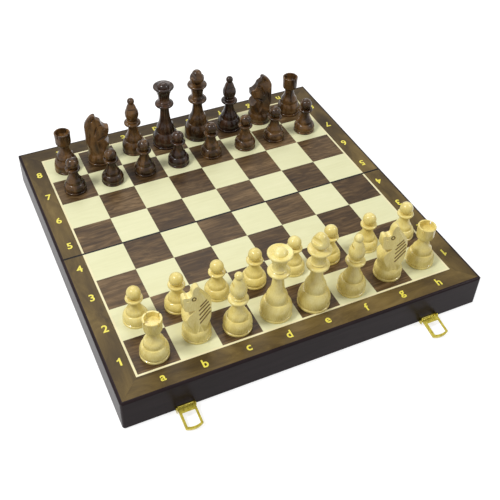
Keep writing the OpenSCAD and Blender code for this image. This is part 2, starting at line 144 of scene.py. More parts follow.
def carry(bm, faces, run):
    """Draws flat faces out into a solid along a run, in metres."""
    raised = bmesh.ops.extrude_face_region(bm, geom=faces, use_keep_orig=True)
    bmesh.ops.translate(bm, vec=run, verts=[v for v in raised["geom"] if isinstance(v, bmesh.types.BMVert)])


def bar(length, width, height):
    """A plain bar, in millimetres, about the middle."""
    bm = bmesh.new()
    bmesh.ops.create_cube(bm, size=1)
    bmesh.ops.scale(bm, vec=(length * MM, width * MM, height * MM), verts=bm.verts)
    return bm


# ---- Turning on the lathe -------------------------------------------------------------------------
# Outlines run from the middle of the foot up, as (radius, height) in millimetres.

def arc(centre_r, centre_z, radius, start, end, steps=8, upright_radius=None):
    """Points of an arc from one angle to another, in degrees; oval if it has its own upright radius."""
    upright = radius if upright_radius is None else upright_radius
    angles = [math.radians(start + (end - start) * k / steps) for k in range(steps + 1)]
    return [(centre_r + radius * math.cos(a), centre_z + upright * math.sin(a)) for a in angles]


def curve(start, towards, end, steps=12):
    """Points of a curve that leaves its start towards a point and comes from there to its end."""
    points = []
    for k in range(steps + 1):
        t = k / steps
        points.append(tuple(a * (1 - t) ** 2 + b * 2 * t * (1 - t) + c * t * t
                            for a, b, c in zip(start, towards, end)))
    return points


def foot(r, belly_z, step_r, step_z):
    """Plinth, groove and swelling foot: upright to belly_z, then rounded over to the step."""
    rim, groove_z, belly = 0.6, 2.9, r - 0.1
    shoulder = (belly * 0.9 + step_r * 0.1, belly_z * 0.38 + step_z * 0.62)
    return ([(0, 0), (r - rim, 0)] + arc(r - rim, rim, rim, -60, 0, 3)
            + arc(r - rim, groove_z - 0.9, rim, 0, 70, 3) + [(r - 1.1, groove_z)]
            + curve((r - 0.8, groove_z + 0.2), (belly, groove_z + 0.8), (belly, belly_z), 5)
            + curve((belly, belly_z), shoulder, (step_r + 0.5, step_z - 0.2), 10)[1:]
            + [(step_r - 0.3, step_z)])


def bell(r, step_z, knee_z, waist, reach, neck):
    """Rises from the step: full to the knee, through the waist, then hollow up to the neck."""
    hollow = (waist[0] + reach * (waist[0] - r), waist[1] + reach * (waist[1] - knee_z))
    return curve((r, step_z + 0.6), (r, knee_z), waist, 10) + curve(waist, hollow, neck, 12)[1:]


def ring(r, z, bead):
    """A round bead that stands out to radius r."""
    return arc(r - bead, z, bead, -65, 80, 9)


KING = (foot(16.8, 9.5, 12, 21) + bell(11.5, 21, 28.5, (9, 32.4), 1.1, (5.7, 50.8))
        + [(7.4, 51.3)] + ring(11.7, 54.6, 1.9) + [(9, 57), (8.2, 57.3)] + ring(8.5, 58.6, 1)
        + curve((7.1, 61), (7, 68), (9.9, 72.6)) + arc(10.5, 75.2, 1.6, -35, 95)
        + [(6.8, 78.4), (4.6, 80.2), (6.6, 81)] + arc(0, 84.4, 8.9, -22, 25, 8, 7.4)
        + curve((8.07, 87.6), (6.6, 90.6), (5.1, 93)) + arc(0, 90.4, 5.9, 30, 90, 8, 5.2))
QUEEN = (foot(16.5, 9.2, 11.8, 19.9) + bell(11.3, 19.9, 27.2, (8.8, 31.2), 1.1, (5.4, 55.4))
         + [(7.2, 55.9)] + ring(11.5, 59.2, 1.9) + [(8.9, 61.6), (8.1, 61.9)] + ring(8.3, 63.2, 1)
         + curve((6.8, 65.6), (6.8, 74), (11.3, 81.6)) + arc(11.2, 83.2, 1.5, -40, 95)
         + [(9.2, 83.7)] + arc(0, 83.2, 7.2, 4, 90, 10, 5.3))
BISHOP = (foot(14.8, 8.5, 11, 16.6) + bell(10.5, 16.6, 20.6, (8.7, 23.2), 1.35, (5, 37.6))
          + [(6.6, 38)] + ring(10.3, 40.9, 1.7) + [(7.6, 42.8), (6.7, 43.1)] + ring(7.3, 44.2, 0.9)
          + [(6.5, 45.6)] + arc(0, 54, 8.4, -52, 34, 16, 10.4) + curve((6.3, 61.6), (5.4, 65.2), (3.4, 68.2))
          + arc(0, 71.5, 4.4, -40, 90, 12))
ROOK = (foot(14.7, 6, 11.2, 15.4) + bell(10.7, 15.4, 20.2, (8.8, 22.4), 1.4, (5.8, 33.5))
        + curve((6.6, 34.2), (9.2, 35.4), (9.3, 38.8), 8) + [(9.3, 43), (9.6, 50.2)]
        + arc(9.1, 50.3, 0.5, 0, 90, 4) + [(7.8, 50.8), (7.2, 45), (0, 44)])
PAWN = (foot(13.2, 6.2, 9.8, 12.4) + bell(9.3, 12.4, 15.8, (7.9, 17.6), 1.5, (4.8, 29))
        + [(5.8, 29.3)] + ring(8.9, 31.5, 1.5) + [(5.8, 32.9)] + arc(0, 38.9, 7.2, -56, 90, 18))
KNIGHT_FOOT = foot(14.8, 8, 11.6, 15.2) + [(9.8, 16.4), (7.6, 17.2), (0, 17.2)]
KNIGHT_BLANK = [(0, 13.4)] + curve((12.8, 13.4), (12.2, 19), (14.2, 26)) + [(14.6, 30), (14.6, 70), (0, 70)]

LIGHT_ROOK_HEIGHT, DARK_ROOK_HEIGHT = 50.8, 53.4
ROOK_CUT_WIDTH, ROOK_CUT_DEPTH = 1.2, 4.6  # the saw cuts across its rim
NOTCH_RADIUS = 3.5  # the notches on either side of the king's dome
NOTCH_X, NOTCH_Z = 7.73, 90.06
MITRE_WIDTH, MITRE_LEAN = 1.5, math.radians(-32)  # the saw cut in the bishop's head
MITRE_X, MITRE_Z = 4.14, 60.72  # where that cut ends
THROUGH = 30  # a cutter of this length goes right through a man
SAW_HEIGHT = 10  # a saw that stands out above the rook


def turned(outline, steps=96):
    """Spins an outline into a solid that stands on its foot."""
    bm = bmesh.new()
    profile = [bm.verts.new((max(r, 0) * MM, 0, z * MM)) for r, z in outline]
    edges = [bm.edges.new(pair) for pair in zip(profile, profile[1:])]
    bmesh.ops.spin(bm, geom=profile + edges, cent=(0, 0, 0), axis=(0, 0, 1), angle=math.tau,
                   steps=steps, use_merge=True)
    bmesh.ops.remove_doubles(bm, verts=bm.verts, dist=1e-6)
    return bm


def king():
    """Turned, with a round notch drilled across on each side of the dome."""
    notches = []
    for side in (-1, 1):
        drill = bmesh.new()
        bmesh.ops.create_cone(drill, cap_ends=True, segments=48, radius1=NOTCH_RADIUS * MM,
                              radius2=NOTCH_RADIUS * MM, depth=THROUGH * MM)
        notches.append(moved(drill, at(side * NOTCH_X, 0, NOTCH_Z) @ about("X", math.pi / 2)))
    return carved(turned(KING), notches)


def queen():
    return turned(QUEEN)


def bishop():
    """Turned, with one slanting saw cut from the front of the head."""
    reach = THROUGH / 2
    saw = moved(bar(reach, THROUGH, MITRE_WIDTH), at(reach / 2, 0, MITRE_WIDTH / 2))
    return carved(turned(BISHOP), [moved(saw, at(MITRE_X, 0, MITRE_Z) @ about("Y", MITRE_LEAN))])


def rook(height):
    """Turned, with a hollow top and two saw cuts that cross over it."""
    outline = [(r, z * height / LIGHT_ROOK_HEIGHT) for r, z in ROOK]
    middle = at(0, 0, height - ROOK_CUT_DEPTH + SAW_HEIGHT / 2)
    return carved(turned(outline), [moved(bar(THROUGH, ROOK_CUT_WIDTH, SAW_HEIGHT), middle),
                                    moved(bar(ROOK_CUT_WIDTH, THROUGH, SAW_HEIGHT), middle)])


def light_rook():
    return rook(LIGHT_ROOK_HEIGHT)


def dark_rook():
    return rook(DARK_ROOK_HEIGHT)


def pawn():
    return turned(PAWN)


# ---- Carving a knight -----------------------------------------------------------------------------
# Side views are (x, z) with the nose towards +X, in millimetres. The sawn head has two flat flanks
# that lean in towards its crest, and every cut is laid on a flank at an (x, z) of the side view.

LIGHT_HORSE = ([(-16, 13), (16, 13)] + curve((16, 18), (14.4, 31), (9.2, 36.6)) + [(4, 40.6)]
               + arc(4, 41.2, 0.6, -100, -260, 6) + curve((4.4, 41.8), (10, 42), (13.2, 43.8))
               + [(14.8, 46.8), (14.8, 53)] + arc(12, 54.8, 2.6, 0, 90, 8, 3.8)
               + curve((11.4, 58.6), (8, 56.2), (4.9, 58.6)) + curve((4.5, 60), (4.8, 66), (0.8, 69))
               + curve((-1, 68.8), (-3, 67.4), (-3.4, 63.8)) + [(-12.8, 50.6), (-16, 44)])
DARK_HORSE = ([(-16, 13), (16, 13)] + curve((16, 16), (14.4, 29.4), (8.4, 34.2))
              + curve((8.4, 35.6), (11.6, 37), (13.4, 41.6)) + curve((14.8, 44.6), (15.2, 48.6), (13.6, 49.4))
              + curve((10.6, 49.8), (7.6, 51.6), (6, 55.2)) + curve((5, 58.6), (3.6, 60.2), (0.6, 61.6))
              + [(-0.2, 62.8), (-0.4, 65.4), (-1.4, 66.4)] + curve((-3.2, 66.4), (-10.6, 63.4), (-14, 53.6))
              + [(-16, 45)])
FLANK_LOW, FLANK_HIGH = (12.3, 13), (3.8, 58)  # (y, z) where a flank starts and where it steepens
TOP_Z, TOP_HALF = 70, 3
FRONT_VIEW = [(-FLANK_LOW[0], FLANK_LOW[1]), FLANK_LOW, FLANK_HIGH, (TOP_HALF, TOP_Z),
              (-TOP_HALF, TOP_Z), (-FLANK_HIGH[0], FLANK_HIGH[1])]
FLANK_SLOPE = (FLANK_LOW[0] - FLANK_HIGH[0]) / (FLANK_HIGH[1] - FLANK_LOW[1])

LIGHT_CREST, DARK_CREST = (-3.4, 63.8), (-7.2, 66)  # (x, z) where the chamfers of the mane begin
CREST_HALF = 1.2  # half the width that they leave along the crest
CREST_FALL, CREST_BEVEL = math.radians(126), math.radians(40)

EYE = (3.2, 54.9)
# Section of the ring that is cut round the eye, as (radius, height) about the face of the flank
EYE_RING = [(1.1, -1), (2.45, -1), (2.45, 1), (1.1, 1), (1.1, -1)]
NOSTRIL, NOSTRIL_SIZES, NOSTRIL_DEPTH = (9.6, 54.2), (3.6, 1.9, 4), 0.7
MANE_WIDTH = 1.2
MANE_LINES = [((-9.5, 50.9), (-1.8, 44.4)), ((-10.8, 48.4), (-0.4, 39.8)), ((-11.6, 45), (-0.4, 34.9)),
              ((-12, 41.2), (-0.2, 29.4)), ((-11.8, 37), (-0.4, 25.2))]

# Hollows of the dark knight: x, z, half sizes, depth, turn in the plane of the flank
DARK_HOLLOWS = [
    (4.8, 53, (1.9, 1.3, 1.6), 1.1, 0),        # eye
    (8.6, 47.6, (4.6, 1.2, 3), 0.7, -0.3),     # along the nose
    (-1.2, 46, (2.2, 8, 4), 1.7, 0.3),         # behind the cheek
    (5.2, 36.4, (7.5, 2.2, 4), 2.2, -0.5),     # under the jaw
    (3.2, 26, (3, 9, 4), 1.5, -0.25),          # chest
    (12.4, 45, (1.3, 0.9, 2), 0.9, 0),         # nostril
    (-4.4, 60, (1.6, 4, 3), 1.4, 0.6),         # behind the ear
    (-8.6, 38, (1.3, 12, 4), 1.0, 0.1),        # along the mane
]
WORN_VOXEL = 0.45  # size of the voxels that take off the dark knight's edges


def prism(outline, along, half=20):
    """A solid of one outline: a side view carried along Y, or a front view carried along X."""
    bm = bmesh.new()
    corners = list(dict.fromkeys(outline))  # two curves share the point where they meet
    if along == "Y":
        start, run = [(a, -half, b) for a, b in corners], (0, 2 * half * MM, 0)
    else:
        start, run = [(-half, a, b) for a, b in corners], (2 * half * MM, 0, 0)
    end = bm.faces.new([bm.verts.new((x * MM, y * MM, z * MM)) for x, y, z in start])
    carry(bm, [end], run)
    bmesh.ops.recalc_face_normals(bm, faces=bm.faces)
    return bm


def on_flank(bm, side, x, z, angle=0.0):
    """Takes a cutter drawn flat, with +Z outwards, to a place on one leaning flank of the horse."""
    y = FLANK_LOW[0] - (z - FLANK_LOW[1]) * FLANK_SLOPE
    lean = about("X", math.atan(FLANK_SLOPE) - math.pi / 2)
    moved(bm, at(x, y, z) @ lean @ about("Z", angle))
    return mirrored(bm) if side < 0 else bm


def gouge(side, start, end):
    """A V-shaped cut along a line of the mane, from one (x, z) to another."""
    run, fall = end[0] - start[0], start[1] - end[1]
    blade = moved(bar(math.hypot(run, fall), MANE_WIDTH, MANE_WIDTH), about("X", math.pi / 4))
    return on_flank(blade, side, (start[0] + end[0]) / 2, (start[1] + end[1]) / 2, math.atan2(fall, run))


def scoop(side, x, z, half_sizes, depth, angle=0.0):
    """A shallow hollow left by a round gouge on a flank."""
    bm = bmesh.new()
    bmesh.ops.create_uvsphere(bm, u_segments=28, v_segments=14, radius=1)
    bmesh.ops.scale(bm, vec=[v * MM for v in half_sizes], verts=bm.verts)
    return on_flank(moved(bm, at(0, 0, half_sizes[2] - depth)), side, x, z, angle)


def chamfers(crest):
    """Two blocks that bevel the mane on either side of its crest."""
    length, width = 30, 20
    corner = at(length / 2, width / 2, -width / 2)
    slope = at(crest[0], CREST_HALF, crest[1]) @ about("Y", CREST_FALL) @ about("X", CREST_BEVEL)
    left, right = [moved(bar(length, width, width), slope @ corner) for _ in range(2)]
    return [left, mirrored(right)]


def horse(outline, crest, worn=False):
    """The knight's head, sawn from the turned blank and bevelled, on its foot; worn rounds its edges."""
    head = carved(turned(KNIGHT_BLANK), [prism(outline, "Y"), prism(FRONT_VIEW, "X")], "INTERSECT")
    head = carved(head, chamfers(crest))
    if worn:
        solid = piece_from(head, "head")
        cast = solid.modifiers.new("cast", "REMESH")
        cast.mode, cast.voxel_size = "VOXEL", WORN_VOXEL * MM
        sanding = solid.modifiers.new("sanding", "SMOOTH")
        sanding.factor, sanding.iterations = 0.6, 14
        head = baked(solid)
    return carved(turned(KNIGHT_FOOT), [head], "UNION")


def light_knight():
    """A crisp head with a nostril, and an eye ring and mane lines cut into it, with shade painted into those
    cuts.
    """
    head = horse(LIGHT_HORSE, LIGHT_CREST)
    for side in (1, -1):
        head = carved(head, [on_flank(turned(EYE_RING, 40), side, *EYE)], shaded_cut=1)
        head = carved(head, [scoop(side, *NOSTRIL, NOSTRIL_SIZES, NOSTRIL_DEPTH)])
        for start, end in MANE_LINES:
            head = carved(head, [gouge(side, start, end)], shaded_cut=1)
    return head


def dark_knight():
    """A softer head that is modelled by hollows alone."""
    head = horse(DARK_HORSE, DARK_CREST, worn=True)
    for side in (1, -1):
        for hollow in DARK_HOLLOWS:
            head = carved(head, [scoop(side, *hollow)])
    return head


# ---- Nodes that the finishes are made of ---------------------------------------------------------

# Where a Mix node takes its two values and gives the result, for each kind of data
MIX_SOCKETS = {"VECTOR": (4, 5, 1), "RGBA": (6, 7, 2)}


def finish(name):
    """A new material, its node tree and its shader."""
    material = bpy.data.materials.new(name)
    material.use_nodes = True
    return material, material.node_tree, material.node_tree.nodes["Principled BSDF"]


def put(tree, kind, sets=None, **links):
    """Adds a node, sets its options (small letters) and sockets (capitals), and links the named ones."""
    node = tree.nodes.new(kind)
    for key, value in (sets or {}).items():
        if key.islower():
            setattr(node, key, value)
        else:
            node.inputs[key].default_value = value
    for key, source in links.items():
        tree.links.new(source, node.inputs[key.replace("_", " ")])
    return node


def worked_out(tree, operation, *values, clamp=False):
    """One step of arithmetic on numbers and sockets."""
    step = put(tree, "ShaderNodeMath", {"operation": operation, "use_clamp": clamp})
    for socket, value in zip(step.inputs, values):
        if isinstance(value, (int, float)):
            socket.default_value = value
        else:
            tree.links.new(value, socket)
    return step.outputs[0]


def layered(tree, *layers):
    """Adds up patterns, each times its weight plus its shift, and keeps the sum between 0 and 1."""
    total = 0.0
    for pattern, weight, shift in layers:
        total = worked_out(tree, "ADD", total, worked_out(tree, "MULTIPLY_ADD", pattern, weight, shift))
    return worked_out(tree, "ADD", total, 0.0, clamp=True)


def either(tree, kind, choice, first, second):
    """The first where the choice is 0 and the second where it is 1; a colour may be given as numbers."""
    mix = put(tree, "ShaderNodeMix", {"data_type": kind})
    first_socket, second_socket, result = MIX_SOCKETS[kind]
    for socket, value in ((0, choice), (first_socket, first), (second_socket, second)):
        if isinstance(value, tuple):
            mix.inputs[socket].default_value = (*value, 1)
        else:
            tree.links.new(value, mix.inputs[socket])
    return mix.outputs[result]


def on_the_piece(tree):
    """Places in metres on the piece itself, so that a pattern stays with it when it moves."""
    return put(tree, "ShaderNodeTexCoord").outputs["Object"]


def shifted(tree, place, by, times):
    """A place moved by a pattern or a random value, times a number."""
    shift = put(tree, "ShaderNodeVectorMath", {"operation": "SCALE", "Scale": times}, Vector=by)
    total = put(tree, "ShaderNodeVectorMath", {"operation": "ADD"}, Vector=place)
    tree.links.new(shift.outputs[0], total.inputs[1])
    return total.outputs[0]


def grained(tree, place, scale, detail, rough=0.55, twist=0.0):
    """Noise with its own scale along each axis: the smaller the number, the longer the grain."""
    drawn_out = put(tree, "ShaderNodeMapping", {"Scale": scale}, Vector=place).outputs["Vector"]
    return speckled(tree, drawn_out, 1.0, detail, rough, twist)


def speckled(tree, place, scale, detail, rough=0.55, twist=0.0):
    """Noise of the same scale every way."""
    sets = {"Scale": scale, "Detail": detail, "Roughness": rough, "Distortion": twist}
    return put(tree, "ShaderNodeTexNoise", sets, Vector=place).outputs["Fac"]


def ramp(tree, value, stops):
    """Colours at their places between 0 and 1."""
    node = put(tree, "ShaderNodeValToRGB", Fac=value)
    elements = node.color_ramp.elements
    for element, (place, colour) in zip(elements, (stops[0], stops[-1])):
        element.position, element.color = place, (*colour, 1)
    for place, colour in stops[1:-1]:
        elements.new(place).color = (*colour, 1)
    return node.outputs["Color"]


def spread(tree, value, low, high):
    """Draws 0 to 1 out over a range."""
    return put(tree, "ShaderNodeMapRange", {"To Min": low, "To Max": high}, Value=value).outputs["Result"]


def surfaced(tree, shader, colour, rough, height, depth, strength, **constants):
    """Joins colour, roughness and relief to the shader and sets its plain numbers."""
    relief = put(tree, "ShaderNodeBump", {"Strength": strength, "Distance": depth}, Height=height)
    tree.links.new(colour, shader.inputs["Base Color"])
    tree.links.new(rough, shader.inputs["Roughness"])
    tree.links.new(relief.outputs["Normal"], shader.inputs["Normal"])
    for socket, value in constants.items():
        shader.inputs[socket.replace("_", " ")].default_value = value


# ---- Veneers -------------------------------------------------------------------------------------

# colour of the shade painted along the seam between the two halves
SEAM_SHADE_COLOUR = (0.006, 0.004, 0.003)
PORE_DEPTH = 0.04 * MM
FAR_SHADE_START, FAR_SHADE_END, FAR_SHADE = 0.16, 0.19, 0.3  # the far strip of the border is darker


def with_seam_shade(tree, place, colour):
    """Paints shade over the cut edges that the two halves turn to each other and the wood beside them, about
    a millimetre wide.
    """
    y = put(tree, "ShaderNodeSeparateXYZ", Vector=place).outputs["Y"]
    width = worked_out(tree, "MULTIPLY_ADD", speckled(tree, place, 700.0, 2), 0.4 * MM, 1.0 * MM)
    near = worked_out(tree, "LESS_THAN", worked_out(tree, "ABSOLUTE", y), width)
    return either(tree, "RGBA", near, colour, SEAM_SHADE_COLOUR)


def veneer_square(name, waviness, stops):
    """Veneer that starts afresh on every square of the board, with its grain along the seam."""
    material, tree, shader = finish(name)
    place = on_the_piece(tree)
    in_squares = put(tree, "ShaderNodeVectorMath", {"operation": "SCALE", "Scale": 1 / SQUARE}, Vector=place)
    square = put(tree, "ShaderNodeVectorMath", {"operation": "FLOOR"}, Vector=in_squares.outputs[0])
    chance = put(tree, "ShaderNodeTexWhiteNoise", {"noise_dimensions": "2D"}, Vector=square.outputs[0])
    sheet = shifted(tree, place, chance.outputs["Color"], 3.0)

    streaks = put(tree, "ShaderNodeMapping", {"Scale": (28, 330, 200)}, Vector=sheet).outputs["Vector"]
    streaks = shifted(tree, streaks, grained(tree, sheet, (18, 30, 20), 2), waviness)
    figure = speckled(tree, streaks, 1.0, 4, 0.6)
    cloud = grained(tree, sheet, (22, 60, 40), 3, 0.5, 0.6)
    pores = grained(tree, sheet, (120, 2600, 800), 2)
    tone = layered(tree, (figure, 1.3, 0.0), (cloud, 0.9, -0.62), (chance.outputs["Value"], 0.30, -0.15),
                   (pores, 0.24, -0.12))
    # the veneer's colour, with shade painted along the seam
    surfaced(tree, shader, with_seam_shade(tree, place, ramp(tree, tone, stops)), spread(tree, figure, 0.30, 0.40),
             pores, PORE_DEPTH, 0.35, Specular_IOR_Level=0.2)
    return material


def border_veneer(name, stops):
    """Cloudy dark veneer whose grain follows each mitred strip."""
    material, tree, shader = finish(name)
    place = on_the_piece(tree)
    x, y, _ = put(tree, "ShaderNodeSeparateXYZ", Vector=place).outputs
    off_seam, off_middle = worked_out(tree, "ABSOLUTE", y), worked_out(tree, "ABSOLUTE", x)
    near_or_far = worked_out(tree, "GREATER_THAN", off_seam, off_middle)
    swapped = put(tree, "ShaderNodeCombineXYZ", X=y, Y=x).outputs[0]
    strip = either(tree, "VECTOR", near_or_far, swapped, place)

    cloud = grained(tree, strip, (16, 42, 20), 6, 0.6, 0.8)
    broad = grained(tree, strip, (7, 20, 10), 3, 0.5, 0.4)
    pores = grained(tree, strip, (160, 1500, 600), 2)
    tone = layered(tree, (cloud, 1.5, -0.42), (broad, 0.8, -0.25), (pores, 0.16, -0.08))
    shade = put(tree, "ShaderNodeMapRange", {"From Min": FAR_SHADE_START, "From Max": FAR_SHADE_END,
                                             "To Max": FAR_SHADE}, Value=y).outputs["Result"]
    tone = worked_out(tree, "SUBTRACT", tone, shade, clamp=True)
    # the border's colour, with shade painted along the seam
    surfaced(tree, shader, with_seam_shade(tree, place, ramp(tree, tone, stops)), spread(tree, cloud, 0.30, 0.42),
             pores, PORE_DEPTH, 0.3, Specular_IOR_Level=0.15)
    return material


# ---- Solid woods, brass, felt and ink ------------------------------------------------------------

def solid_wood(name, grain, rough, shine, stops, coat=0.0, coat_rough=0.1, crosses_seam=False):
    """Wood with its grain along the axis of the smallest number, cut from another place for each piece."""
    material, tree, shader = finish(name)
    chance = put(tree, "ShaderNodeObjectInfo").outputs["Random"]
    plank = shifted(tree, on_the_piece(tree), chance, 7.0)
    figure = grained(tree, plank, grain, 5, 0.55, 1.2)
    pores = grained(tree, plank, tuple(16 * g for g in grain), 3)
    tone = layered(tree, (figure, 1.6, -0.3), (pores, 0.3, -0.15), (chance, 0.2, -0.08))
    colour = ramp(tree, tone, stops)
    # the pale line gets the painted seam shade where it crosses the seam
    if crosses_seam:
        colour = with_seam_shade(tree, on_the_piece(tree), colour)
    surfaced(tree, shader, colour, spread(tree, pores, rough - 0.05, rough + 0.08), pores, 0.03 * MM, 0.3,
             Coat_Weight=coat, Coat_Roughness=coat_rough, Specular_IOR_Level=shine)
    return material


def brass_sheet(name, stops):
    """Stamped brass: brushed along its length, and clouded where it has been handled."""
    material, tree, shader = finish(name)
    place = on_the_piece(tree)
    stain = speckled(tree, place, 420.0, 4, 0.6, 0.4)
    brush = grained(tree, place, (60, 2200, 900), 2)
    surfaced(tree, shader, ramp(tree, stain, stops), spread(tree, stain, 0.14, 0.30), brush, 0.02 * MM, 0.25,
             Metallic=1.0)
    return material


def felt_cloth(name, stops):
    """Felt: a mat of short fibres with paler patches."""
    material, tree, shader = finish(name)
    place = on_the_piece(tree)
    fibres = speckled(tree, place, 1500.0, 6, 0.7, 0.6)
    patches = speckled(tree, place, 45.0, 3)
    tone = layered(tree, (fibres, 0.6, 0.0), (patches, 0.4, 0.0))
    surfaced(tree, shader, ramp(tree, tone, stops), spread(tree, fibres, 0.9, 1.0), fibres, 0.3 * MM, 0.8,
             Sheen_Weight=0.4)
    return material


def printed_ink(name, stops):
    """A thin, slightly uneven coat of ink."""
    material, tree, shader = finish(name)
    speck = speckled(tree, on_the_piece(tree), 900.0, 3)
    surfaced(tree, shader, ramp(tree, speck, stops), spread(tree, speck, 0.35, 0.5), speck, 0.02 * MM, 0.2)
    return material


maple = veneer_square("maple_squares", 2.0, [
    (0.0, (0.67, 0.655, 0.39)), (0.5, (0.71, 0.70, 0.43)), (1.0, (0.75, 0.735, 0.47))])
walnut = veneer_square("walnut_squares", 5.0, [
    (0.0, (0.020, 0.010, 0.004)), (0.35, (0.062, 0.034, 0.013)), (0.62, (0.115, 0.068, 0.028)),
    (1.0, (0.26, 0.165, 0.080))])
burl = border_veneer("border_burl", [
    (0.0, (0.036, 0.022, 0.009)), (0.35, (0.080, 0.052, 0.018)), (0.6, (0.132, 0.088, 0.029)),
    (1.0, (0.25, 0.175, 0.060))])
line_wood = solid_wood("pale_line", (60, 60, 60), 0.35, 0.2, [
    (0.0, (0.74, 0.67, 0.39)), (1.0, (0.82, 0.76, 0.49))], crosses_seam=True)
rail_lacquer = solid_wood("rail_lacquer", (12, 12, 72), 0.30, 0.08, [
    (0.0, (0.011, 0.006, 0.007)), (1.0, (0.028, 0.018, 0.020))])
ply = solid_wood("bare_ply", (20, 20, 20), 0.6, 0.3, [
    (0.0, (0.36, 0.24, 0.12)), (1.0, (0.55, 0.40, 0.22))])
felt = felt_cloth("green_felt", [
    (0.25, (0.008, 0.045, 0.022)), (0.75, (0.03, 0.13, 0.065))])
brass = brass_sheet("stamped_brass", [
    (0.25, (0.26, 0.20, 0.025)), (0.5, (0.52, 0.43, 0.06)), (0.85, (0.78, 0.68, 0.15))])
ink = printed_ink("yellow_ink", [
    (0.3, (0.72, 0.62, 0.05)), (0.7, (0.88, 0.78, 0.11))])
boxwood = solid_wood("boxwood", (66, 66, 15), 0.26, 0.35, [
    (0.0, (0.62, 0.475, 0.125)), (0.5, (0.79, 0.655, 0.22)), (1.0, (0.88, 0.78, 0.34))],
    coat=0.35, coat_rough=0.06)
rosewood = solid_wood("rosewood", (64, 64, 24), 0.22, 0.2, [
    (0.0, (0.006, 0.003, 0.002)), (0.4, (0.034, 0.016, 0.006)), (1.0, (0.22, 0.11, 0.034))],
    coat=0.25, coat_rough=0.05)
# shade painted into the carved grooves of the light knights, a darker brown than the boxwood
painted_groove_shade = solid_wood("boxwood_groove_shade", (60, 60, 60), 0.5, 0.2, [
    (0.0, (0.20, 0.13, 0.04)), (1.0, (0.42, 0.30, 0.10))])
deep_rosewood = solid_wood("deep_rosewood", (64, 64, 24), 0.22, 0.2, [
    (0.0, (0.006, 0.003, 0.002)), (0.5, (0.026, 0.012, 0.007)), (1.0, (0.11, 0.05, 0.022))],
    coat=0.3, coat_rough=0.05)


# ---- The box -------------------------------------------------------------------------------------

# What the names of the frame's nodes end in, and the finish that goes with it
BOX_FINISHES = {
    "rail": rail_lacquer, "panel": ply, "border_veneer": burl, "inlaid_line": line_wood,
    "light_squares": maple, "dark_squares": walnut, "felt": felt,
    "leaves": brass, "pins": brass, "bracket": brass, "frame": brass, "plates": brass,
}

for name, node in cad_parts.items():
    for ending, material in BOX_FINISHES.items():
        if name.endswith(ending):
            node.data.materials.clear()
            node.data.materials.append(material)


# ---- Coordinates on the border -------------------------------------------------------------------

SIGN_HEIGHT = 9.5 * MM
SIGN_BOLD = 0.27 * MM  # how far the letters' outlines are thickened
INK_GAP, INK_THICKNESS = 0.02 * MM, 0.08 * MM
# A "1" with its flag and no foot, in heights of a sign about its middle
ONE = [(0.17, -0.5), (0.17, 0.5), (0.03, 0.5), (-0.06, 0.35), (-0.24, 0.26), (-0.24, 0.09), (-0.04, 0.17),
       (-0.04, -0.5)]

# Middles of the signs, in squares from the middle of the board: each row, then its signs in order
ROW_NEAR, ROW_FAR, ROW_LEFT, ROW_RIGHT = -4.295, 4.255, -4.258, 4.265
LETTERS_NEAR = (-3.53, -2.555, -1.49, -0.50, 0.51, 1.535, 2.53, 3.54)
LETTERS_FAR = (-3.5, -2.5, -1.566, -0.561, 0.5, 1.523, 2.5, 3.543)
NUMBERS_LEFT = (-3.52, -2.50, -1.48, -0.454, 0.421, 1.443, 2.46, 3.457)
NUMBERS_RIGHT = (-3.507, -2.48, -1.441, -0.457, 0.419, 1.444, 2.441, 3.45)


def flat_sign(sign):
    """One letter or number as a flat face."""
    if sign == "1":
        bm = bmesh.new()
        bm.faces.new([bm.verts.new((a * SIGN_HEIGHT, b * SIGN_HEIGHT, 0)) for a, b in ONE])
        return bm
    text = bpy.data.curves.new(f"sign_{sign}", "FONT")
    text.body, text.size, text.offset = sign, SIGN_HEIGHT * 1.36, SIGN_BOLD
    text.align_x, text.align_y = "CENTER", "CENTER"
    flat = bpy.data.objects.new("flat", text)
    bpy.context.scene.collection.objects.link(flat)
    bm = baked(flat)
    bmesh.ops.dissolve_limit(bm, angle_limit=0.001, verts=bm.verts, edges=bm.edges)
    return bm


def coordinate(sign, row, x, y, turned_round, body):
    """A yellow sign printed on the border, with its middle at x and y squares."""
    bm = flat_sign(sign)
    low = Vector([min(v.co[k] for v in bm.verts) for k in range(3)])
    high = Vector([max(v.co[k] for v in bm.verts) for k in range(3)])
    moved(bm, Matrix.Translation(-(low + high) / 2))
    if turned_round:
        moved(bm, about("Z", math.pi))
    moved(bm, Matrix.Translation((x * SQUARE, y * SQUARE, BOARD_TOP + INK_GAP)))
    carry(bm, bm.faces[:], (0, 0, INK_THICKNESS))
    set_out(piece_from(bm, f"coordinate_{row}_{sign}"), body, "inlay_veneer", ink)


for k, (letter, number) in enumerate(zip("abcdefgh", "12345678")):
    half = "near" if k < 4 else "far"
    coordinate(letter, "near_edge", LETTERS_NEAR[k], ROW_NEAR, False, "near_half")
    coordinate(letter, "far_edge", LETTERS_FAR[k], ROW_FAR, True, "far_half")
    coordinate(number, f"{half}_left", ROW_LEFT, NUMBERS_LEFT[k], False, f"{half}_half")
    coordinate(number, f"{half}_right", ROW_RIGHT, NUMBERS_RIGHT[k], True, f"{half}_half")


# ---- Screws and nails ----------------------------------------------------------------------------
# Outlines are (radius, height) in millimetres, with height 0 at the face that the head lies in.

SCREW = [(0, -1.3), (0.8, -1.3), (0.84, -0.8), (1.7, -0.06), (1.64, -0.01), (0, -0.01)]
NAIL = [(0, -1.2), (0.45, -1.2), (0.45, 0.02), (1.1, 0.02), (1.05, 0.16), (0.7, 0.32), (0, 0.38)]
SLOT_LENGTH, SLOT_WIDTH, SLOT_DEPTH = 5, 0.35, 0.35
HEAD_STEPS = 32  # sides of a round head

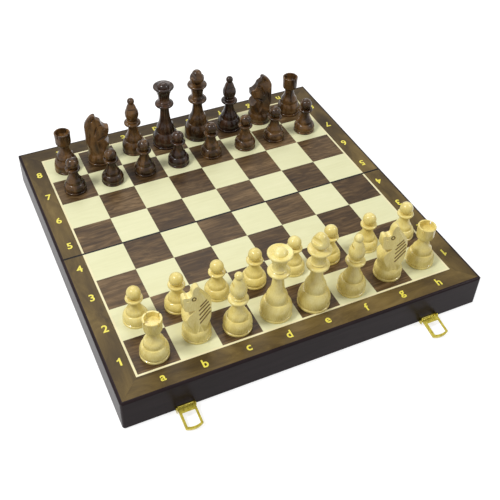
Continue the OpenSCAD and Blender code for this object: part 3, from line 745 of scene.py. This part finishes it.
# Places of the holes in the frame's hinges and latches, in millimetres
HINGE_X, HINGE_HOLE_STEP, HINGE_HOLE_Z = 120, 40 / 3, 8.06
LEAF_Y = 0.15  # face of a hinge leaf, which lies in the face of the seam rail
LATCH_X, PLATE_Y = 138, 200.7  # middle of a latch, and the face of its brass plate
BRACKET_HOLE_X, BRACKET_HOLE_Z = 5, 2.6
CATCH_HOLE_X, CATCH_HOLE_Z = 4, 7.5


def screw(x):
    """A countersunk screw; its slot stands at an angle of its own."""
    slot = moved(bar(SLOT_LENGTH, SLOT_WIDTH, 2 * SLOT_DEPTH), about("Z", 0.6 + x))
    return carved(turned(SCREW, HEAD_STEPS), [slot])


def nail():
    """A nail with a domed head."""
    return turned(NAIL, HEAD_STEPS)


def driven(bm, name, x, y, z, outward, body):
    """Sets a screw or nail in its hole, with its head towards +Y or -Y."""
    moved(bm, at(x, y, z) @ about("X", -outward * math.pi / 2))
    set_out(piece_from(bm, name), body, "brass", brass)


for side, hand in ((-1, "left"), (1, "right")):
    for k in (1, 2, 3):
        x = side * HINGE_X + (k - 2) * HINGE_HOLE_STEP
        driven(screw(x), f"near_hinge_screw_{hand}_{k}", x, -LEAF_Y, HINGE_HOLE_Z, 1, "near_half")
        driven(screw(x), f"far_hinge_screw_{hand}_{k}", x, LEAF_Y, HINGE_HOLE_Z, -1, "far_half")
    for k, way in ((1, -1), (2, 1)):
        x = side * LATCH_X + way * BRACKET_HOLE_X
        driven(nail(), f"bracket_nail_{hand}_{k}", x, -PLATE_Y, BRACKET_HOLE_Z, -1, "near_half")
        x = side * LATCH_X + way * CATCH_HOLE_X
        driven(nail(), f"catch_nail_{hand}_{k}", x, PLATE_Y, CATCH_HOLE_Z, 1, "far_half")


# ---- The men -------------------------------------------------------------------------------------
# Each man: its shape, file and rank, how far it stands off the middle of its square in millimetres,
# and its turn in degrees.

MEN = {
    "light_king": (king, 5, 1, (-1.3, -6.6), 20), "light_queen": (queen, 4, 1, (0.9, -3.5), 0),
    "light_bishop_c": (bishop, 3, 1, (1.3, -5.2), 150), "light_bishop_f": (bishop, 6, 1, (0, -5.6), 160),
    "light_knight_b": (light_knight, 2, 1, (4.4, 2.6), 177),
    "light_knight_g": (light_knight, 7, 1, (3, -1.3), 170),
    "light_rook_a": (light_rook, 1, 1, (1.7, -3.9), 20), "light_rook_h": (light_rook, 8, 1, (1.3, 0.4), 30),
    "light_pawn_a": (pawn, 1, 2, (-0.9, -0.4), 0), "light_pawn_b": (pawn, 2, 2, (0, 0), 0),
    "light_pawn_c": (pawn, 3, 2, (0, 0), 0), "light_pawn_d": (pawn, 4, 2, (-1.3, 0), 0),
    "light_pawn_e": (pawn, 5, 2, (0.4, 0), 0), "light_pawn_f": (pawn, 6, 2, (0, 0), 0),
    "light_pawn_g": (pawn, 7, 2, (3.5, 0), 0), "light_pawn_h": (pawn, 8, 2, (6, -0.9), 0),
    "dark_king": (king, 5, 8, (0, 0), 10), "dark_queen": (queen, 4, 8, (0, 0), 0),
    "dark_bishop_c": (bishop, 3, 8, (2.2, 2.6), 260), "dark_bishop_f": (bishop, 6, 8, (0, 0), 270),
    "dark_knight_b": (dark_knight, 2, 8, (0, 0), 345), "dark_knight_g": (dark_knight, 7, 8, (0, 0), 180),
    "dark_rook_a": (dark_rook, 1, 8, (1.7, -0.9), 40), "dark_rook_h": (dark_rook, 8, 8, (0, 1.3), 15),
    "dark_pawn_a": (pawn, 1, 7, (0, 0), 0), "dark_pawn_b": (pawn, 2, 7, (2.2, -1.3), 0),
    "dark_pawn_c": (pawn, 3, 7, (0, 0), 0), "dark_pawn_d": (pawn, 4, 7, (0, 0), 0),
    "dark_pawn_e": (pawn, 5, 7, (0, 0), 0), "dark_pawn_f": (pawn, 6, 7, (2, -1.5), 0),
    "dark_pawn_g": (pawn, 7, 7, (0, 0), 0), "dark_pawn_h": (pawn, 8, 7, (0, 0), 0),
}
DEEPEST = ("dark_queen", "dark_pawn_d", "dark_bishop_f")  # cut from a darker plank

shapes = {make: make() for make in dict.fromkeys(man[0] for man in MEN.values())}
for name, (make, file, rank, (off_x, off_y), degrees) in MEN.items():
    square_centre = Matrix.Translation(((file - 4.5) * SQUARE, (rank - 4.5) * SQUARE, BOARD_TOP))
    man = moved(shapes[make].copy(), square_centre @ at(off_x, off_y, 0) @ about("Z", math.radians(degrees)))
    slot, wood = ("boxwood", boxwood) if name.startswith("light") else ("rosewood", rosewood)
    if name in DEEPEST:
        wood = deep_rosewood
    set_out(piece_from(man, f"{name}_turned"), f"{name}_man", slot, wood, name)
for shape in shapes.values():
    shape.free()


# ---- Camera, lamps, backdrop and floor -----------------------------------------------------------

scene = bpy.context.scene
scene.view_settings.view_transform = "Standard"

# Solved from the corners of the squares and the outer corners of the box in the photograph
CAMERA_PLACE = (-0.28746, -0.61701, 0.64665)
CAMERA_TURN = (47.4991, -0.4762, -23.8602)  # degrees about X, Y and Z
CAMERA_LENS, CAMERA_SENSOR = 57.325, 36
CAMERA_SHIFT = (0.05216, -0.05851)

lens = bpy.data.cameras.new("camera")
lens.sensor_width, lens.lens = CAMERA_SENSOR, CAMERA_LENS
lens.shift_x, lens.shift_y = CAMERA_SHIFT
lens.clip_start, lens.clip_end = 0.05, 20
camera = bpy.data.objects.new("camera", lens)
scene.collection.objects.link(camera)
camera.location = CAMERA_PLACE
camera.rotation_euler = [math.radians(angle) for angle in CAMERA_TURN]
scene.camera = camera

FLOOR_Z = -1.6 * MM  # just under the latches, which hang lowest
FLOOR_HALF = 6
FLOOR_SHADE = 0.42
FLOOR_GLOW = 0.75  # brings the floor up to white where it is seen
WORLD_LIGHT = 0.38  # what the white world gives to the object


def softbox(name, place, width, height, watts):
    """A soft lamp that looks at the middle of the board."""
    lamp = bpy.data.lights.new(name, "AREA")
    lamp.shape, lamp.size, lamp.size_y, lamp.energy = "RECTANGLE", width, height, watts
    stand = bpy.data.objects.new(name, lamp)
    scene.collection.objects.link(stand)
    stand.location = place
    stand.rotation_mode = "QUATERNION"
    stand.rotation_quaternion = (-Vector(place)).to_track_quat("-Z", "Y")


def straight_rays(tree):
    """1 for the rays that show the backdrop: from the camera, off a polish or through glass."""
    path = put(tree, "ShaderNodeLightPath").outputs
    bent = worked_out(tree, "MAXIMUM", path["Is Glossy Ray"], path["Is Transmission Ray"])
    return worked_out(tree, "MAXIMUM", path["Is Camera Ray"], bent)


def white_world():
    """A white backdrop that lights the object less than it shows."""
    world = bpy.data.worlds.new("studio")
    scene.world = world
    world.use_nodes = True
    backdrop = world.node_tree.nodes["Background"]
    backdrop.inputs["Color"].default_value = (1, 1, 1, 1)
    strength = spread(world.node_tree, straight_rays(world.node_tree), WORLD_LIGHT, 1.0)
    world.node_tree.links.new(strength, backdrop.inputs["Strength"])


def pale_floor():
    """A plain floor that keeps the object's shadow."""
    bm = bmesh.new()
    bmesh.ops.create_grid(bm, x_segments=1, y_segments=1, size=FLOOR_HALF)
    floor = piece_from(moved(bm, Matrix.Translation((0, 0, FLOOR_Z))), "floor")
    material, tree, shader = finish("pale_floor")
    shader.inputs["Base Color"].default_value = (FLOOR_SHADE, FLOOR_SHADE, FLOOR_SHADE, 1)
    shader.inputs["Roughness"].default_value = 0.9
    shader.inputs["Emission Color"].default_value = (1, 1, 1, 1)
    tree.links.new(spread(tree, straight_rays(tree), 0.0, FLOOR_GLOW), shader.inputs["Emission Strength"])
    floor.data.materials.append(material)


softbox("key_left", (-1.1, -0.1, 1.6), 0.4, 0.4, 22)
softbox("fill_right", (1.2, -0.6, 1.3), 0.4, 0.4, 7)
softbox("top_back", (0.2, 1.2, 1.6), 1.2, 0.6, 8)
white_world()
pale_floor()
